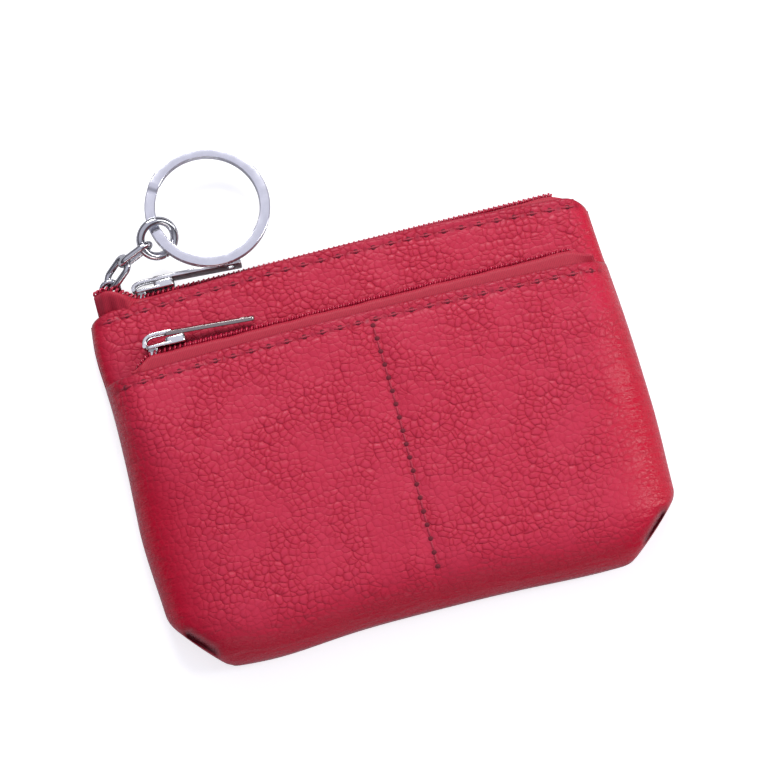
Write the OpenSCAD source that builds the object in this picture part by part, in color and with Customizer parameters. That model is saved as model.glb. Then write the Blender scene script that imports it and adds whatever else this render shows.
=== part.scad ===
// Zippered pouch: a soft leather coin and key pouch with a main zip along the
// top, a zipped pocket over the front, and a key ring on a short chain.
// It lies on its back. X runs along the zips, +Y towards the main zip,
// +Z up out of the front. The origin is the centre of the flat back.

/* [Pouch] */
// width across the bottom fold, mm
bottom_w = 118; // [112:1:124]
// width across the main zip end, mm
top_w = 113; // [108:1:116]
// height from the bottom fold to the main zip, mm
pouch_h = 84; // [82:1:88]
// leather thickness, mm
leather_t = 1.0; // [0.7:0.1:1.1]
// lining thickness, mm
lining_t = 0.3; // [0.2:0.05:0.3]
// corner radius at the bottom, mm
corner_r = 13; // [8:0.5:15]

/* [Pocket] */
// distance from the main zip down to the pocket's lip, mm
lip_drop = 18; // [16:0.5:20]
// height of the pocket's front above the table, mm
full_z = 15.2; // [15.2:0.1:17]
// bow of the lip from its middle to its ends, mm
lip_bow = 1.4; // [0:0.1:2]

/* [Zips] */
// length of zip tape that shows, mm
zip_len = 100; // [98:1:101]
// pitch of the coil turns, mm
coil_pitch = 1.15; // [1.1:0.05:1.5]
// length of a slider body, mm
slider_len = 8; // [7:0.5:8]
// length of a pull from its pivot, mm
pull_len = 20.5; // [16:0.5:21]
// width of a pull, mm
pull_w = 3.6; // [3:0.2:3.8]

/* [Stitching] */
// pitch of the topstitching, mm
stitch_pitch = 4; // [3:0.5:6]
// pitch of the centre stitching, mm
centre_pitch = 3; // [2.5:0.5:5]
// thickness of the thread, mm
thread_d = 0.5; // [0.3:0.1:0.6]

/* [Key ring] */
// outside diameter of the split ring, mm
ring_d = 28; // [26:1:28]
// width of the split ring's flat wire, mm
ring_wire = 2.4; // [2:0.1:2.4]

/* [Hidden] */
y_bot = -pouch_h / 2;
y_zip = pouch_h / 2;
y_lip = y_zip - lip_drop;
taper = (bottom_w - top_w) / 2 / pouch_h;
lean = atan(taper);
corner_y = y_bot + corner_r;
corner_x = bottom_w / 2 - taper * corner_r - corner_r;
rim_back = 3.4;
rim_front = 3.7;
half = 2.8;
main_zc = 3.9;
main_y = y_zip - 1.2;
tab_y = y_zip + 1;
pocket_zc = 10.9;
pocket_y = y_lip + 2.4;
slider_x = -43;
nu = 28;
nv = 16;
eps = 0.01;
wine = [0.70, 0.20, 0.29];
dark = [0.45, 0.10, 0.17];
metal = [0.80, 0.80, 0.82];

// half width of the pouch at height y
function half_w(y) = bottom_w / 2 - taper * (y - y_bot);

// half width with the bottom corners rounded, inset by d
function side(y, d, r) =
    let (h = y - y_bot - d, q = r - d)
    half_w(y) - d - (h < q ? q - sqrt(max(0, q * q - (q - h) * (q - h))) : 0);

// share of the full height at s of the half width, flat up to s0
function crown(s, s0) =
    abs(s) <= s0 ? 1 : sqrt(max(0, 1 - pow((abs(s) - s0) / (1 - s0), 2.3)));

// share of the full height at h above the bottom fold
function fold(h, run) = h >= run ? 1 : sqrt(max(0, 1 - pow((run - h) / run, 2.2)));

// outside height of the pocket front and of the panel behind it
function pocket_z(y) = full_z - 0.4 * pow((y + 5) / 28, 2);
function front_z(y) = 8.0 - 0.2 * pow(y / 41, 2);

// how much of the width is flat
function pocket_flat(y) = y > 12 ? 0.9 : 0.9 - 0.2 * min(1, (12 - y) / 20);
function front_flat(y) = y > 15 ? 0.9 : 0.84;

// inset of the front panel: deeper under the pocket than above its lip
function tuck(y) = y < y_lip - 0.8 ? 1.6 : y > y_lip + 2 ? 0.6 : 1.6 - (y - y_lip + 0.8) / 2.8;

// a point of the pocket front, u across and v up, inset by d
function pocket_pt(u, v, d) =
    let (s = sin(90 * u),
        top = y_lip - lip_bow * s * s,
        y = y_bot + d + (top - y_bot - d) * (1 - cos(90 * v)),
        x = side(y, d, corner_r) * s,
        h = pocket_z(y) - rim_front - d)
    [x, y, rim_front + h * crown(s, pocket_flat(y)) * fold(y - y_bot - d, 9)];

// a point of the front panel
function front_pt(u, v, d) =
    let (s = sin(90 * u),
        low = y_bot + 1.6 + d,
        top = y_zip - 0.9 - 2.2 * s * s,
        y = low + (top - low) * (1 - cos(90 * v)),
        x = (side(y, 1.6 + d, corner_r) + 1.6 - tuck(y)) * s,
        h = front_z(y) - rim_front - d)
    [x, y, rim_front + h * crown(s, front_flat(y)) * fold(y - low, 7)];

// a point of the back: flat on the table, its edges turned up to the rim
function back_pt(u, v, d) =
    let (s = sin(90 * u),
        y = y_bot + d + (y_zip - 1.6 - y_bot - d) * (1 - cos(90 * v)),
        x = side(y, d, corner_r) * s)
    [x, y, rim_back - (rim_back - d) * crown(s, 0.92) * fold(y - y_bot - d, 4)];

// closed shell between an upper and a lower grid of points
module shell(outer, inner) {
    n = (nu + 1) * (nv + 1);
    w = nu + 1;
    top = [for (j = [0:nv - 1], i = [0:nu - 1])
        each [[j * w + i, (j + 1) * w + i, (j + 1) * w + i + 1],
            [j * w + i, (j + 1) * w + i + 1, j * w + i + 1]]];
    under = [for (t = top) [t[0] + n, t[2] + n, t[1] + n]];
    near = [for (i = [0:nu - 1]) each [[i, i + 1, i + 1 + n], [i, i + 1 + n, i + n]]];
    far = [for (i = [0:nu - 1]) let (a = nv * w + i)
        each [[a, a + 1 + n, a + 1], [a, a + n, a + 1 + n]]];
    left = [for (j = [0:nv - 1]) let (a = j * w, b = (j + 1) * w)
        each [[a, b + n, b], [a, a + n, b + n]]];
    right = [for (j = [0:nv - 1]) let (a = j * w + nu, b = (j + 1) * w + nu)
        each [[a, b, b + n], [a, b + n, a + n]]];
    polyhedron(concat(outer, inner), concat(top, under, near, far, left, right));
}

function pocket_grid(d) = [for (j = [0:nv], i = [0:nu]) pocket_pt(2 * i / nu - 1, j / nv, d)];
function back_grid(d) = [for (j = [0:nv], i = [0:nu]) back_pt(2 * i / nu - 1, j / nv, d)];
function front_grid(d) = [for (j = [0:nv], i = [0:nu]) front_pt(2 * i / nu - 1, j / nv, d)];

// lining points: a patch hung d below the panel's inner face
function pocket_patch(d) = [for (j = [0:nv], i = [0:nu])
    let (s = 0.8 * (2 * i / nu - 1), y = -30 + (y_lip - 4.5 + 30) * j / nv)
    [side(y, 1, corner_r) * s, y, rim_front + (pocket_z(y) - rim_front - leather_t)
        * crown(s, pocket_flat(y)) - d]];
function front_patch(d) = [for (j = [0:nv], i = [0:nu])
    let (s = 0.82 * (2 * i / nu - 1), y = -31 + (y_zip - 7.2 + 31) * j / nv)
    [side(y, 2.6, corner_r) * s, y, rim_front + (front_z(y) - rim_front - leather_t)
        * crown(s, front_flat(y)) - d]];

// outline of the back's flat plate, inset by d, up to height y
module plate(d, y) {
    r = corner_r - d;
    lift = y - corner_y;
    top_x = corner_x + r / cos(lean) - lift * tan(lean);
    polygon([[-corner_x, corner_y - r], [corner_x, corner_y - r],
        [corner_x + r * cos(lean), corner_y + r * sin(lean)], [top_x, y], [-top_x, y],
        [-corner_x - r * cos(lean), corner_y + r * sin(lean)]]);
    for (s = [-1, 1])
        translate([s * corner_x, corner_y])
            circle(r = r, $fn = 64);
}

module back_panel() {
    color(wine)
        shell(back_grid(leather_t), back_grid(0));
}

module front_panel() {
    color(wine)
        shell(front_grid(0), front_grid(leather_t));
}

module pocket_panel() {
    color(wine)
        shell(pocket_grid(0), pocket_grid(leather_t));
}

module back_lining() {
    color(dark)
        translate([0, 0, leather_t + 0.1])
            linear_extrude(lining_t)
                plate(5, y_zip - 7.2);
}

module front_lining() {
    color(dark)
        shell(front_patch(0.12), front_patch(0.12 + lining_t));
}

module pocket_lining() {
    color(dark)
        shell(pocket_patch(0.12), pocket_patch(0.12 + lining_t));
}

// upper half of a zip tape in section: flat under the leather, then turned
// down across the end of the pouch; drawn as [y, z] from the zip's own plane
module tape_section(reach) {
    t = 0.3;
    r = 1.2;
    translate([-reach, half - t])
        square([reach - r, t]);
    translate([-t, 0.9])
        square([t, half - r - 0.9]);
    intersection() {
        translate([-r, half - r])
            difference() {
                circle(r = r, $fn = 48);
                circle(r = r - t, $fn = 48);
            }
        translate([-r, half - r])
            square([r, r]);
    }
}

// one side of a zip tape; up = 1 for the upper side, -1 for the lower
module tape(y, z, up, reach) {
    color(wine)
        translate([-zip_len / 2, y, z])
            rotate([90, 0, 90])
                linear_extrude(zip_len)
                    scale([1, up])
                        tape_section(reach);
}

// one side of the coil: a cord with a turn standing out at every pitch
module coil(y, z, up) {
    x0 = slider_x - 2.1;
    len = 47 - x0;
    count = floor(len / coil_pitch) - 1;
    color(dark)
        translate([x0, y + 0.05, z]) {
            translate([0, 0, up > 0 ? 0.75 : -1.35])
                cube([len, 1.2, 0.6]);
            for (i = [0:count])
                translate([0.2 + i * coil_pitch + (up > 0 ? 0 : coil_pitch / 2), 0.15,
                        up > 0 ? -0.35 : -0.76])
                    cube([0.4, 0.9, 1.11]);
        }
}

// zip slider: two plates, a wedge between them, side lips and an arched bridge
module slider(y, z) {
    w = 2.2;
    l = slider_len / 2;
    color(metal)
        translate([slider_x, y, z]) {
            rounded_plate(l, w, 1.65, 0.7);
            rounded_plate(l - 0.4, 1.8, -1.5, 0.9);
            translate([-l, -0.7, -0.45])
                cube([1.5, 2.45, 0.9]);
            for (s = [-1, 1])
                translate([-l + 1.8, 0.3, s > 0 ? w - 0.45 : -w])
                    cube([2 * l - 3.6, 1.4, 0.45]);
            translate([0, 2.35 - eps, 0])
                rotate_extrude(angle = 180, $fn = 48)
                    translate([2.2, 0])
                        circle(r = 0.45, $fn = 24);
        }
}

// flat plate of a slider: half length l, half width w, at height h
module rounded_plate(l, w, h, t) {
    translate([0, h + t, 0])
        rotate([90, 0, 0])
            linear_extrude(t)
                union() {
                    square([2 * l - 2, 2 * w], center = true);
                    square([2 * l, 2 * w - 2], center = true);
                    for (a = [-1, 1], b = [-1, 1])
                        translate([a * (l - 1), b * (w - 1)])
                            circle(r = 1, $fn = 32);
                }
}

// zip pull: a flat bar with a window that hooks through the slider's bridge
module pull(y, z) {
    py = y + 3.15;
    color(metal)
        translate([slider_x, py, z]) {
            for (s = [-1, 1])
                translate([0, -0.45, s > 0 ? 0.8 : -pull_w / 2])
                    cube([4.6, 0.9, pull_w / 2 - 0.8]);
            translate([0, 0, -pull_w / 2])
                cylinder(r = 0.45, h = pull_w, $fn = 32);
            translate([3.8, -0.45, -pull_w / 2])
                cube([pull_len - 3.8 - 1, 0.9, pull_w]);
            translate([pull_len - 1, 0.45, 0])
                rotate([90, 0, 0])
                    linear_extrude(0.9)
                        intersection() {
                            circle(r = pull_w / 2, $fn = 48);
                            translate([0, -pull_w / 2])
                                square([1, pull_w]);
                        }
        }
}

// one stitch lying along X
module stitch(len) {
    rotate([0, 90, 0])
        cylinder(d = thread_d, h = len, center = true, $fn = 16);
}

module stitch_front_edge() {
    color(dark)
        for (i = [-12:12])
            let (x = i * stitch_pitch, s = x / half_w(y_zip), y = y_zip - 3.1 - 2.2 * s * s)
                translate([x, y, front_z(y) + thread_d / 2 + 0.05])
                    stitch(2.6);
}

module stitch_pocket_lip() {
    color(dark)
        for (i = [-12:12])
            let (x = i * stitch_pitch, s = x / half_w(y_lip), y = y_lip - 2.2 - lip_bow * s * s)
                translate([x, y, pocket_z(y) + thread_d / 2 + 0.05])
                    stitch(2.6);
}

module stitch_pocket_centre() {
    color(dark)
        for (i = [0:17])
            let (y = y_lip - 5 - i * centre_pitch,
                tilt = atan((pocket_z(y + 1) - pocket_z(y - 1)) / 2))
                translate([3, y, pocket_z(y) + thread_d / 2 + 0.08])
                    rotate([tilt, 0, 0])
                        rotate([0, 0, 90])
                            stitch(2);
}

// wire ring or oval link; half length a and half width b of the wire's centre line
module link(a, b, wire) {
    q = a - b;
    for (s = [0, 1])
        mirror([s, 0, 0])
            translate([q, 0, 0])
                rotate([0, 0, -90])
                    rotate_extrude(angle = 180, $fn = 64)
                        translate([b, 0])
                            circle(d = wire, $fn = 24);
    if (q > 0)
        for (s = [-1, 1])
            translate([-q - eps, s * b, 0])
                rotate([0, 90, 0])
                    cylinder(d = wire, h = 2 * q + 2 * eps, $fn = 24);
}

// leather tab folded round the end loop, its foot on the back by the zip's end
module ring_tab() {
    color(wine)
        translate([-53, tab_y, 3.7])
            rotate([0, 90, 0])
                linear_extrude(1.6)
                    difference() {
                        union() {
                            circle(r = 1.9, $fn = 48);
                            translate([-0.5, -5])
                                square([2, 5]);
                        }
                        circle(r = 1.1, $fn = 48);
                    }
}

module end_loop() {
    color(metal)
        translate([-51.93, y_zip + 2.62, 4.97])
            rotate([39.2, 2.2, 7.7])
                link(1.95, 1.95, 1);
}

module chain_link_1() {
    color(metal)
        translate([-49.31, y_zip + 5.55, 6.77])
            rotate([-34.9, -28.3, 35.1])
                link(3.8, 2.05, 1.1);
}

module chain_link_2() {
    color(metal)
        translate([-44.41, y_zip + 7.88, 9.43])
            rotate([90.5, -11.2, 21])
                link(3.8, 2.05, 1.1);
}

module jump_ring() {
    color(metal)
        translate([-38.84, y_zip + 10.26, 9.22])
            rotate([28.5, 22.1, 0.6])
                link(4, 4, 1.4);
}

// flat wire in two turns, with a fine groove where they meet
module split_ring() {
    r = ring_d / 2;
    color(metal)
        translate([r - 40.5, y_zip + 15, 7.4])
            rotate([-4.8, 6.4, 0])
                rotate_extrude($fn = 96) {
                    translate([r - ring_wire, 0.06])
                        square([ring_wire, 0.89]);
                    translate([r - ring_wire, -0.95])
                        square([ring_wire, 0.89]);
                    translate([r - ring_wire + 0.25, -0.1])
                        square([ring_wire - 0.5, 0.2]);
                }
}

back_panel();
front_panel();
pocket_panel();
back_lining();
front_lining();
pocket_lining();
tape(main_y, main_zc, -1, 5.3);  // main_tape_back
tape(main_y, main_zc, 1, 5.3);  // main_tape_front
coil(main_y, main_zc, -1);  // main_coil_back
coil(main_y, main_zc, 1);  // main_coil_front
slider(main_y, main_zc);  // main_slider
pull(main_y, main_zc);  // main_pull
tape(pocket_y, pocket_zc, -1, 6.5);  // pocket_tape_upper
tape(pocket_y, pocket_zc, 1, 6.5);  // pocket_tape_lower
coil(pocket_y, pocket_zc, -1);  // pocket_coil_upper
coil(pocket_y, pocket_zc, 1);  // pocket_coil_lower
slider(pocket_y, pocket_zc);  // pocket_slider
pull(pocket_y, pocket_zc);  // pocket_pull
stitch_front_edge();
stitch_pocket_lip();
stitch_pocket_centre();
ring_tab();
end_loop();
chain_link_1();
chain_link_2();
jump_ring();
split_ring();
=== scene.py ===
import math

import bpy
import numpy as np
from mathutils import Matrix, Vector


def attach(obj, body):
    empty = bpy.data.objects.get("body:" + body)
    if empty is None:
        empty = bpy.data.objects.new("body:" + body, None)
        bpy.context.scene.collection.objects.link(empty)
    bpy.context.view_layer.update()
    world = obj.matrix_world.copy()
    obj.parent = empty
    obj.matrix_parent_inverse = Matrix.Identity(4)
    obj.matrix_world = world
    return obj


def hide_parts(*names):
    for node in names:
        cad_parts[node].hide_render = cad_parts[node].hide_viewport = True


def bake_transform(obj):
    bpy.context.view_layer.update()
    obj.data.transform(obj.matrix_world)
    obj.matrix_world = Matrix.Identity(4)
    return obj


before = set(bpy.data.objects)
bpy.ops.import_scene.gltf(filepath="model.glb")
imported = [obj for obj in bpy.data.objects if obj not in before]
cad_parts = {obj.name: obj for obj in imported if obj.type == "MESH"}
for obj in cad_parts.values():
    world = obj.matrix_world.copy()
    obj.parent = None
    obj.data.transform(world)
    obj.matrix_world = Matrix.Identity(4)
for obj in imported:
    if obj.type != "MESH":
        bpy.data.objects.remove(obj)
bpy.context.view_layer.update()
print("frame loaded")

# camera
# The view from above the front, a little off square, with the pouch turned.
view = dict(azimuth=-10.0, elevation=80.65, roll=-14.39, distance=0.5,
            target=(0.0011, 0.0100, 0.006), lens=107.7)


def placeCamera():
    a, e, r = (math.radians(view[k]) for k in ("azimuth", "elevation", "roll"))
    back = Vector((math.sin(a) * math.cos(e), -math.cos(a) * math.cos(e), math.sin(e)))
    side = Vector((0, 1, 0)).cross(back).normalized()
    up = back.cross(side)
    across = math.cos(r) * side + math.sin(r) * up
    upward = -math.sin(r) * side + math.cos(r) * up
    data = bpy.data.cameras.new("view")
    data.lens = view["lens"]
    data.sensor_width = 36
    data.clip_start = 0.02
    camera = bpy.data.objects.new("view", data)
    bpy.context.scene.collection.objects.link(camera)
    camera.matrix_world = Matrix.Translation(Vector(view["target"]) + view["distance"] * back) \
        @ Matrix((across, upward, back)).transposed().to_4x4()
    bpy.context.scene.camera = camera



# node helpers


def link(tree, a, b):
    tree.links.new(a, b)


def newGroup(name, inputs, outputs):
    group = bpy.data.node_groups.new(name, "ShaderNodeTree")
    for label, kind, value in inputs:
        socket = group.interface.new_socket(label, in_out="INPUT", socket_type=kind)
        if value is not None:
            socket.default_value = value
    for label, kind in outputs:
        group.interface.new_socket(label, in_out="OUTPUT", socket_type=kind)
    start = group.nodes.new("NodeGroupInput")
    end = group.nodes.new("NodeGroupOutput")
    return group, start, end


def mathNode(tree, kind, a, b=None, clamp=False):
    node = tree.nodes.new("ShaderNodeMath")
    node.operation = kind
    node.use_clamp = clamp
    for i, value in enumerate((a, b)):
        if value is None:
            continue
        if isinstance(value, (int, float)):
            node.inputs[i].default_value = value
        else:
            link(tree, value, node.inputs[i])
    return node.outputs[0]


def rampNode(tree, fac, stops):
    node = tree.nodes.new("ShaderNodeMapRange")
    node.interpolation_type = "SMOOTHSTEP"
    (a, x), (b, y) = stops
    node.inputs["From Min"].default_value = a
    node.inputs["From Max"].default_value = b
    node.inputs["To Min"].default_value = x
    node.inputs["To Max"].default_value = y
    link(tree, fac, node.inputs["Value"])
    return node.outputs[0]


def mixColour(tree, fac, a, b):
    node = tree.nodes.new("ShaderNodeMix")
    node.data_type = "RGBA"
    link(tree, fac, node.inputs[0])
    for i, value in ((6, a), (7, b)):
        if isinstance(value, tuple):
            node.inputs[i].default_value = (*value, 1)
        else:
            link(tree, value, node.inputs[i])
    return node.outputs[2]


# pebbled leather
# the crease, rolled and hollow colours are painted shade; tone and light vary at random over the hide
leather = dict(tone=(0.47, 0.016, 0.048), crease=(0.36, 0.002, 0.016), light=(0.54, 0.034, 0.076),
               rolled=(0.46, 0.0015, 0.020), hollowShade=(0.07, 0.001, 0.006), rough=0.38)
pebble = dict(cells=680.0, wander=0.0017, tall=1.15)


def pebbleGroup():
    group, start, end = newGroup(
        "pebbleGrain",
        [("Place", "NodeSocketVector", None), ("Cells", "NodeSocketFloat", pebble["cells"])],
        [("Height", "NodeSocketFloat"), ("Crease", "NodeSocketFloat"), ("Tone", "NodeSocketFloat")])
    wander = group.nodes.new("ShaderNodeTexNoise")
    wander.inputs["Scale"].default_value = 330
    wander.inputs["Detail"].default_value = 1.5
    link(group, start.outputs["Place"], wander.inputs["Vector"])
    shift = group.nodes.new("ShaderNodeVectorMath")
    shift.operation = "MULTIPLY_ADD"
    shift.inputs[1].default_value = (pebble["wander"],) * 3
    link(group, wander.outputs["Color"], shift.inputs[0])
    link(group, start.outputs["Place"], shift.inputs[2])
    squeeze = group.nodes.new("ShaderNodeVectorMath")
    squeeze.operation = "MULTIPLY"
    squeeze.inputs[1].default_value = (1, pebble["tall"], 1)
    link(group, shift.outputs[0], squeeze.inputs[0])
    cells = group.nodes.new("ShaderNodeTexVoronoi")
    cells.feature = "DISTANCE_TO_EDGE"
    domes = group.nodes.new("ShaderNodeTexVoronoi")
    domes.feature = "SMOOTH_F1"
    domes.inputs["Smoothness"].default_value = 0.22
    for node in (cells, domes):
        node.voronoi_dimensions = "2D"
        node.inputs["Randomness"].default_value = 0.92
        link(group, start.outputs["Cells"], node.inputs["Scale"])
        link(group, squeeze.outputs[0], node.inputs["Vector"])
    fine = group.nodes.new("ShaderNodeTexNoise")
    fine.inputs["Scale"].default_value = 1900
    fine.inputs["Detail"].default_value = 3
    broad = group.nodes.new("ShaderNodeTexNoise")
    broad.inputs["Scale"].default_value = 90
    broad.inputs["Detail"].default_value = 2
    for node in (fine, broad):
        link(group, start.outputs["Place"], node.inputs["Vector"])
    depth = rampNode(group, broad.outputs["Fac"], ((0.34, 0.35), (0.60, 1.0)))
    gap = rampNode(group, cells.outputs["Distance"], ((0.0, 1.0), (0.36, 0.0)))
    crease = mathNode(group, "MULTIPLY", gap, depth)
    near = domes.outputs["Distance"]
    dome = mathNode(group, "SUBTRACT", 1.0, mathNode(group, "MULTIPLY", mathNode(group, "MULTIPLY", near, near), 1.7))
    shoulder = rampNode(group, cells.outputs["Distance"], ((0.0, 0.0), (0.16, 0.22)))
    raised = mathNode(group, "MULTIPLY", mathNode(group, "ADD", dome, shoulder), depth)
    grit = mathNode(group, "MULTIPLY", fine.outputs["Fac"], 0.22)
    split = group.nodes.new("ShaderNodeSeparateColor")
    link(group, domes.outputs["Color"], split.inputs[0])
    own = mathNode(group, "MULTIPLY", split.outputs[0], 0.14)
    link(group, mathNode(group, "ADD", mathNode(group, "ADD", raised, grit), own), end.inputs["Height"])
    link(group, crease, end.inputs["Crease"])
    link(group, split.outputs[1], end.inputs["Tone"])
    return group


grainGroup = pebbleGroup()


def newMaterial(name):
    material = bpy.data.materials.new(name)
    material.use_nodes = True
    tree = material.node_tree
    return material, tree, tree.nodes["Principled BSDF"]


def leatherMaterial(name, tone, crease, light, rough, bump=1.0):
    material, tree, shader = newMaterial(name)
    place = tree.nodes.new("ShaderNodeUVMap")
    place.uv_map = "flat"
    grain = tree.nodes.new("ShaderNodeGroup")
    grain.node_tree = grainGroup
    link(tree, place.outputs["UV"], grain.inputs["Place"])
    patches = tree.nodes.new("ShaderNodeTexNoise")
    patches.inputs["Scale"].default_value = 38
    patches.inputs["Detail"].default_value = 3
    link(tree, place.outputs["UV"], patches.inputs["Vector"])
    mottled = mathNode(tree, "ADD", mathNode(tree, "MULTIPLY", grain.outputs["Tone"], 0.25),
                       mathNode(tree, "MULTIPLY", patches.outputs["Fac"], 0.75), clamp=True)
    base = mixColour(tree, mottled, tone, light)
    paintedShade = tree.nodes.new("ShaderNodeAttribute")
    paintedShade.attribute_name = "shade"
    # long wrinkles run along the rolled edges, where the pebbles are pulled flat
    rolled = tree.nodes.new("ShaderNodeAttribute")
    rolled.attribute_name = "roll"
    # painted shade: where the sheet rolls away round its edges it is coloured a darker, deeper red
    shaded = mixColour(tree, mathNode(tree, "MULTIPLY", rolled.outputs["Fac"], 0.85), base, leather["rolled"])
    # painted shade: near-black red along the top edges, round the needle holes and in the corner pinches
    shaded = mixColour(tree, paintedShade.outputs["Fac"], shaded, leather["hollowShade"])
    pulled = tree.nodes.new("ShaderNodeMapping")
    pulled.inputs["Scale"].default_value = (0.30, 1, 1)
    link(tree, place.outputs["UV"], pulled.inputs["Vector"])
    folds = tree.nodes.new("ShaderNodeTexNoise")
    folds.inputs["Scale"].default_value = 620
    folds.inputs["Detail"].default_value = 3.5
    folds.inputs["Roughness"].default_value = 0.55
    link(tree, pulled.outputs[0], folds.inputs["Vector"])
    keep = mathNode(tree, "SUBTRACT", 1.0, mathNode(tree, "MULTIPLY", rolled.outputs["Fac"], 0.8), clamp=True)
    # painted shade: the grain's creases are coloured darker and deeper red, as shade falls between the pebbles
    creaseShade = mathNode(tree, "MULTIPLY", mathNode(tree, "MULTIPLY", grain.outputs["Crease"], 0.55), keep)
    link(tree, mixColour(tree, creaseShade, shaded, crease), shader.inputs["Base Color"])
    matt = mathNode(tree, "ADD", mathNode(tree, "MULTIPLY", grain.outputs["Crease"], 0.2), rough)
    shine = mathNode(tree, "MULTIPLY", rolled.outputs["Fac"], -0.16)
    link(tree, mathNode(tree, "ADD", matt, shine), shader.inputs["Roughness"])
    shader.inputs["Specular IOR Level"].default_value = 0.22
    pebbles = mathNode(tree, "MULTIPLY", grain.outputs["Height"], keep)
    ripples = mathNode(tree, "MULTIPLY", mathNode(tree, "MULTIPLY", folds.outputs["Fac"], 1.9),
                       mathNode(tree, "ADD", rolled.outputs["Fac"], 0.22))
    relief = tree.nodes.new("ShaderNodeBump")
    relief.inputs["Strength"].default_value = bump
    relief.inputs["Distance"].default_value = 0.0002
    link(tree, mathNode(tree, "ADD", pebbles, ripples), relief.inputs["Height"])
    link(tree, relief.outputs["Normal"], shader.inputs["Normal"])
    return material


leatherMat = leatherMaterial("pebbledLeather", leather["tone"], leather["crease"],
                             leather["light"], leather["rough"])


def weaveMaterial(name, tone, dark, pitch, rough, slant=0.6, bump=0.5):
    material, tree, shader = newMaterial(name)
    place = tree.nodes.new("ShaderNodeTexCoord")
    turn = tree.nodes.new("ShaderNodeMapping")
    turn.inputs["Rotation"].default_value = (0, 0, slant)
    link(tree, place.outputs["Object"], turn.inputs["Vector"])
    threads = tree.nodes.new("ShaderNodeTexWave")
    threads.wave_profile = "SIN"
    threads.inputs["Scale"].default_value = 0.31 / pitch
    threads.inputs["Distortion"].default_value = 0.6
    threads.inputs["Detail"].default_value = 1
    link(tree, turn.outputs[0], threads.inputs["Vector"])
    cloud = tree.nodes.new("ShaderNodeTexNoise")
    cloud.inputs["Scale"].default_value = 900
    cloud.inputs["Detail"].default_value = 3
    link(tree, place.outputs["Object"], cloud.inputs["Vector"])
    both = mathNode(tree, "ADD", mathNode(tree, "MULTIPLY", threads.outputs["Fac"], 0.6),
                    mathNode(tree, "MULTIPLY", cloud.outputs["Fac"], 0.5), clamp=True)
    link(tree, mixColour(tree, both, dark, tone), shader.inputs["Base Color"])
    shader.inputs["Roughness"].default_value = rough
    shader.inputs["Sheen Weight"].default_value = 0.04
    shader.inputs["Sheen Tint"].default_value = (1, 0.5, 0.55, 1)
    relief = tree.nodes.new("ShaderNodeBump")
    relief.inputs["Strength"].default_value = bump
    relief.inputs["Distance"].default_value = 0.0001
    link(tree, both, relief.inputs["Height"])
    link(tree, relief.outputs["Normal"], shader.inputs["Normal"])
    return material


tapeMat = weaveMaterial("zipTapeTwill", (0.46, 0.006, 0.034), (0.32, 0.003, 0.020), 0.00045, 0.62)
liningMat = weaveMaterial("liningWeave", (0.10, 0.012, 0.022), (0.05, 0.006, 0.012), 0.0005, 0.8)
threadMat = weaveMaterial("stitchThread", (0.46, 0.016, 0.05), (0.28, 0.006, 0.025), 0.0003, 0.6, 0.9)


# painted shade: needle holes are dark discs standing for the shade inside each hole
holeShadeMat = weaveMaterial("needleHole", (0.17, 0.002, 0.015), (0.11, 0.001, 0.010), 0.0004, 0.8)


def coilMaterial():
    material, tree, shader = newMaterial("coilNylon")
    place = tree.nodes.new("ShaderNodeTexCoord")
    cloud = tree.nodes.new("ShaderNodeTexNoise")
    cloud.inputs["Scale"].default_value = 1500
    link(tree, place.outputs["Object"], cloud.inputs["Vector"])
    link(tree, mixColour(tree, cloud.outputs["Fac"], (0.34, 0.004, 0.025), (0.55, 0.014, 0.060)),
         shader.inputs["Base Color"])
    shader.inputs["Roughness"].default_value = 0.32
    shader.inputs["Coat Weight"].default_value = 0.2
    return material


coilMat = coilMaterial()


def metalMaterial(name, tone, rough, brushed=0.0):
    material, tree, shader = newMaterial(name)
    place = tree.nodes.new("ShaderNodeTexCoord")
    cloud = tree.nodes.new("ShaderNodeTexNoise")
    cloud.inputs["Scale"].default_value = 420
    cloud.inputs["Detail"].default_value = 5
    link(tree, place.outputs["Object"], cloud.inputs["Vector"])
    shader.inputs["Metallic"].default_value = 1
    dim = tuple(0.86 * c for c in tone)
    face = mixColour(tree, cloud.outputs["Fac"], dim, tone)
    # walls seen edge-on are painted darker: a painted reflection of the dim room that polished metal mirrors there
    grazing = tree.nodes.new("ShaderNodeLayerWeight")
    grazing.inputs["Blend"].default_value = 0.5
    edgeReflectionMask = rampNode(tree, grazing.outputs["Facing"], ((0.42, 0.0), (0.92, 0.9)))
    link(tree, mixColour(tree, edgeReflectionMask, face, tuple(0.16 * c for c in tone)), shader.inputs["Base Color"])
    smear = tree.nodes.new("ShaderNodeMapRange")
    smear.inputs["To Min"].default_value = rough * 0.7
    smear.inputs["To Max"].default_value = rough * 1.5
    link(tree, cloud.outputs["Fac"], smear.inputs["Value"])
    link(tree, smear.outputs[0], shader.inputs["Roughness"])
    scratch = tree.nodes.new("ShaderNodeTexNoise")
    scratch.inputs["Scale"].default_value = 2400
    link(tree, place.outputs["Object"], scratch.inputs["Vector"])
    relief = tree.nodes.new("ShaderNodeBump")
    relief.inputs["Strength"].default_value = 0.06 + brushed
    relief.inputs["Distance"].default_value = 0.00003
    link(tree, scratch.outputs["Fac"], relief.inputs["Height"])
    link(tree, relief.outputs["Normal"], shader.inputs["Normal"])
    return material


nickelMat = metalMaterial("brightNickel", (0.84, 0.84, 0.85), 0.2, 0.05)
chromeMat = metalMaterial("polishedSteel", (0.82, 0.82, 0.88), 0.14)
chainMat = metalMaterial("chainSteel", (0.60, 0.60, 0.63), 0.13)
# a shaded copy of the nickel: painted shade for the pocket pull's bar
shadedNickelMat = metalMaterial("dimNickel", (0.34, 0.29, 0.28), 0.22)
print("materials made")

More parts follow.
